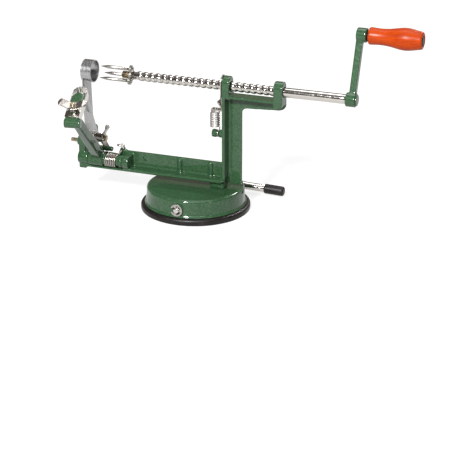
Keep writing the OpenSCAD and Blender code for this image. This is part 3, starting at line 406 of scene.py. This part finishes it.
def copied(node, ending):
    """A merged copy of a CAD piece, free of its body."""
    pick(frame["nodes"][node])
    bpy.ops.object.duplicate()
    piece = bpy.context.active_object
    bpy.ops.object.parent_clear(type="CLEAR_KEEP_TRANSFORM")
    piece.name = node + ending
    del piece["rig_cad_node"], piece["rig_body"]
    bpy.ops.object.mode_set(mode="EDIT")
    bpy.ops.mesh.select_all(action="SELECT")
    bpy.ops.mesh.remove_doubles(threshold=CAD_MERGE)
    bpy.ops.object.mode_set(mode="OBJECT")
    return piece


def cast(node, cell, rounds, bores=()):
    """A casting: corners filled and edges rounded all over, then its running bores cut clean."""
    piece = copied(node, "_cast")
    modify(piece, "REMESH", mode="VOXEL", voxel_size=cell * MM, use_smooth_shade=True)
    modify(piece, "SMOOTH", factor=0.5, iterations=rounds)
    for x0, x1, y, z, radius in bores:
        drill = turned("drill", [(x0, 0), (x0, radius), (x1, radius), (x1, 0)], (0, y, z), sides=48)
        modify(piece, "BOOLEAN", operation="DIFFERENCE", solver="EXACT", object=drill)
        bpy.data.objects.remove(drill)
        outwards(piece)
    smooth(piece, 60)
    return stand_for(piece, node)


def polished(node):
    """A CAD piece with its round faces shaded smooth."""
    piece = copied(node, "_polished")
    smooth(piece, ROUND_ANGLE)
    return stand_for(piece, node)


# Castings

SHAFT_Z = 121
PIVOT_Y, PIVOT_Z = -4.5, 37
SHAFT_BORE = (24, 90, 0, SHAFT_Z, 4.62)
PIVOT_BORE = (-107, -69, PIVOT_Y, PIVOT_Z, 2.62)

cast("frame_casting", cell=0.62, rounds=4, bores=[SHAFT_BORE])
cast("peeling_arm", cell=0.5, rounds=8, bores=[PIVOT_BORE])
cast("crank", cell=0.5, rounds=7)
cast("base_housing", cell=0.8, rounds=3)


# Feed shaft

PITCH = 6.05
THREAD_X = -59.6125
THREAD_TURNS, THREAD_STEPS = 23, 40
CORE_R, ROOT_R, CREST_R, PLAIN_R = 3.54, 3.55, 4.48, 4.5
TIP_X, TIP_R = -69.8, 2.5
SHOULDER_X, SHOULDER_R, SHOULDER_BEVEL = -61.46, 3.45, 0.1
PLAIN_X, PLAIN_BEVEL = 74.99, 0.2
CRANK_X, HUB_L, HUB_R = 143.7, 9.2, 3.3


def feed_shaft():
    """One turn of the groove and its rounded ridge, swept along the shaft, over a turned core."""
    crest_x = 3.775
    rise = [(1.5, ROOT_R), (1.66, 3.85), (1.85, 4.13), (2.3, 4.29), (2.8, 4.40), (3.3, 4.46)]
    fall = [(2 * crest_x - x, r) for x, r in reversed(rise)]
    groove = [(0, ROOT_R), *rise, (crest_x, CREST_R), *fall]
    ridge = line("thread", [(x, r, 0) for x, r in groove])
    modify(ridge, "SCREW", axis="X", angle=math.tau, screw_offset=PITCH * MM, iterations=THREAD_TURNS,
           steps=THREAD_STEPS, render_steps=THREAD_STEPS, use_merge_vertices=False)
    close_ends(ridge)
    outwards(ridge)
    ridge.location = (THREAD_X * MM, 0, SHAFT_Z * MM)
    settle(ridge)
    hub_end = CRANK_X + HUB_L
    core = turned("core", [
        (TIP_X, 0), (TIP_X, TIP_R), (SHOULDER_X, TIP_R), (SHOULDER_X, SHOULDER_R),
        (SHOULDER_X + SHOULDER_BEVEL, CORE_R), (PLAIN_X, CORE_R), (PLAIN_X, CREST_R),
        (PLAIN_X + PLAIN_BEVEL, PLAIN_R), (CRANK_X, PLAIN_R), (CRANK_X, HUB_R), (hub_end, HUB_R),
        (hub_end, 0)], (0, 0, SHAFT_Z))
    shaft = joined("feed_shaft_turned", ridge, core)
    smooth(shaft, 50)
    stand_for(shaft, "feed_shaft")


feed_shaft()


# Springs

BEND = 15
BENDS_A_TURN = 24


def latch_spring():
    stud_x, stud_z, loop_r = 22.7, 74.9, 3.1
    coil_x, coil_r, low, high, turns = 19.6, 4.3, 80.625, 95.5, 8.5
    shelf_z, shelf_t = 97.2, 1.2

    def loop(a):
        a = math.radians(a)
        return (stud_x, loop_r * math.cos(a), stud_z + loop_r * math.sin(a))

    def coil(r, a, z):
        a = math.radians(a)
        return (coil_x + r * math.cos(a), r * math.sin(a), z)

    points = [loop(-BEND * i) for i in range(18, -1, -1)]
    points += [(stud_x, loop_r, stud_z + 2), ((stud_x + coil_x + coil_r) / 2, loop_r * 0.6, low - 1.8)]
    count = int(BENDS_A_TURN * turns)
    points += [coil(coil_r, BEND * i, low + (high - low) * i / count) for i in range(count + 1)]
    end, shelf_top = 360 * turns, shelf_z + shelf_t
    points += [coil(coil_r * 0.6, end + 60, high + 0.5), coil(coil_r * 0.2, end + 120, high + 0.9),
               coil(0, 0, shelf_z - 0.2), coil(0, 0, shelf_top + 0.3), coil(0.5, 0, shelf_top + 0.8),
               coil(1.4, 0, shelf_top + 1), coil(2.6, 0, shelf_top + 1)]
    spring = wire("latch_spring_wound", points, 1.0)
    dress(spring, SPRING)
    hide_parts("latch_spring")
    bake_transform(spring)


def arm_spring():
    coil_r, x0, length, turns = 5.75, -87.5, 10.175, 5.5
    seat_x0, ear_x, ear_z = -90.4, -75.525, 45.2
    curl_x, curl_y, curl_z, curl_r, back_y = -78.125, 5.9, 49.3, 2.65, 8.75

    def coil(x, a):
        a = math.radians(a)
        return (x, PIVOT_Y + coil_r * math.cos(a), PIVOT_Z + coil_r * math.sin(a))

    def curl(a):
        a = math.radians(a)
        return (curl_x + curl_r * math.cos(a), curl_y + curl_r * math.sin(a), curl_z)

    first = 90 + 360 * turns
    count = int(BENDS_A_TURN * turns)
    points = [coil(seat_x0 - 2.2, first), coil(seat_x0 + 0.6, first), coil(x0 - 0.9, first - 8)]
    points += [coil(x0 + length * i / count, first - BEND * i) for i in range(1, count + 1)]
    points += [(ear_x - 0.9, PIVOT_Y + 4, PIVOT_Z + coil_r + 0.5), (ear_x, 2.9, ear_z - 0.1),
               (ear_x, 4.5, ear_z), (ear_x, 7.3, ear_z), (ear_x, back_y - 0.4, ear_z + 0.3),
               (ear_x, back_y, ear_z + 1.2), (ear_x, back_y, ear_z + 2.8),
               (ear_x - 0.2, back_y - 0.2, curl_z - 0.4)]
    points += [curl(a) for a in range(60, 331, BEND)]
    spring = wire("arm_spring_wound", points, 1.3)
    dress(spring, SPRING)
    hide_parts("arm_spring")
    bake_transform(spring)


latch_spring()
arm_spring()


# Wooden grip


def wooden_grip():
    length, neck, end_r, wide, bore_r = 49.0, 7.1, 7.8, 10.0, 3.1
    place = (157.0, 21.09, 174.815)

    def hump(t, centre, width):
        return math.exp(-((t - centre) / width) ** 2)

    def radius(t):
        return neck + (end_r - neck) * hump(t, 0, 0.16) + (wide - neck) * hump(t, 0.68, 0.26)

    steps = 60
    profile = [(0, bore_r), (0, radius(0) - 1.6), (0.35, radius(0) - 0.6), (1.0, radius(0.02) - 0.12)]
    profile += [(length * i / steps, radius(i / steps)) for i in range(2, steps - 1)]
    profile += [(length - 0.8, radius(0.985) - 0.15), (length - 0.2, radius(1) - 0.8),
                (length, radius(1) - 1.8), (length - 0.1, 5.3), (length - 0.6, 4.7), (length - 1.6, 4.5),
                (length - 1.6, bore_r), (0, bore_r)]
    grip = turned("wooden_grip_turned", profile, place)
    smooth(grip, 35)
    stand_for(grip, "wooden_grip")


wooden_grip()


# Suction pad


def suction_pad():
    """Rim and skin stay on the table with the pad's body; the boss that holds the stud's button, which the
    stud draws up, is cut out as a piece of its own and is not attached to any body.
    """
    boss_r, cutter_l = 9.9, 40
    rim, boss = copied("suction_pad", "_rim"), copied("suction_pad", "_boss")
    for piece, operation in ((rim, "DIFFERENCE"), (boss, "INTERSECT")):
        clear()
        bpy.ops.mesh.primitive_cylinder_add(vertices=96, radius=boss_r * MM, depth=cutter_l * MM)
        core = bpy.context.active_object
        modify(piece, "BOOLEAN", operation=operation, solver="EXACT", object=core)
        bpy.data.objects.remove(core)
        outwards(piece)
        smooth(piece, ROUND_ANGLE)
    stand_for(rim, "suction_pad")
    dress(boss, RUBBER)
    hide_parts("suction_pad")
    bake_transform(boss)


suction_pad()


# Plain pieces

for plain in ("lever_rod", "lever_grip", "fork_nut", "fork_prongs", "crank_rivet", "grip_pin",
              "knife_bolt", "knife_wing_nut", "blade_wing_nut", "blade_bolt", "stop_pin", "slicing_knife",
              "peeling_blade", "latch_screw", "pivot_pin"):
    polished(plain)

for wing_nut in ("knife_wing_nut_polished", "blade_wing_nut_polished"):
    dress(bpy.data.objects[wing_nut], NICKEL)
dress(bpy.data.objects["peeling_blade_polished"], MIRROR)


# Stage


def studio():
    clear()
    bpy.ops.mesh.primitive_plane_add(size=30)
    floor = bpy.context.active_object
    floor.name = "floor"
    f = Finish("pale_floor", Specular_IOR_Level=0.1, Roughness=0.7, Emission_Strength=0.72)
    f.set("Base Color", f.mix(f.noise(3.0, 2.0), (0.19, 0.19, 0.188, 1), (0.205, 0.205, 0.203, 1)))
    f.set("Emission Color", (1, 1, 1, 1))
    dress(floor, f.material)

    middle = (0.02, 0, 0.09)

    def softbox(name, place, aim, size, power):
        bpy.ops.object.light_add(type="AREA", location=place)
        lamp = bpy.context.active_object
        lamp.name = name
        lamp.data.shape = "RECTANGLE"
        lamp.data.size, lamp.data.size_y = size
        lamp.data.energy = power
        lamp.rotation_euler = (Vector(aim) - Vector(place)).to_track_quat("-Z", "Y").to_euler()

    softbox("key_softbox", (-0.05, -1.55, 1.18), middle, (0.30, 0.30), 78)
    softbox("rim_strip", (0.62, -1.42, 1.18), middle, (1.1, 0.07), 11)
    softbox("top_softbox", (0.1, 0.3, 1.5), (0.02, 0, 0.05), (1.2, 0.8), 11)
    softbox("back_softbox", (0.40, 1.40, 1.20), middle, (0.3, 0.3), 15)
    softbox("side_strip", (1.50, -1.05, 0.58), middle, (0.15, 0.4), 2.4)

    sky = Sky("studio")
    height = sky.add("ShaderNodeSeparateXYZ", None, {"Vector": sky.place}, out="Z")
    depth = sky.add("ShaderNodeSeparateXYZ", None, {"Vector": sky.place}, out="Y")
    wall = sky.mix(sky.spread(depth, -0.1, 0.6), (0.060, 0.052, 0.044, 1), (0.32, 0.27, 0.24, 1))
    sky.set("Color", sky.mix(sky.spread(height, 0.4, 0.95), wall, (0.26, 0.26, 0.27, 1)))
    sky.set("Strength", 1.0)

    bpy.ops.object.camera_add(location=(0.57702, -1.45795, 0.60739))
    camera = bpy.context.active_object
    azimuth, elevation = math.radians(20.56), math.radians(21.8)
    back = Vector((math.sin(azimuth) * math.cos(elevation), -math.cos(azimuth) * math.cos(elevation),
                   math.sin(elevation)))
    camera.rotation_euler = (-back).to_track_quat("-Z", "Y").to_euler()
    camera.data.sensor_width = 36
    camera.data.lens = 143.36
    bpy.context.scene.camera = camera
    bpy.context.scene.view_settings.view_transform = "Standard"


studio()
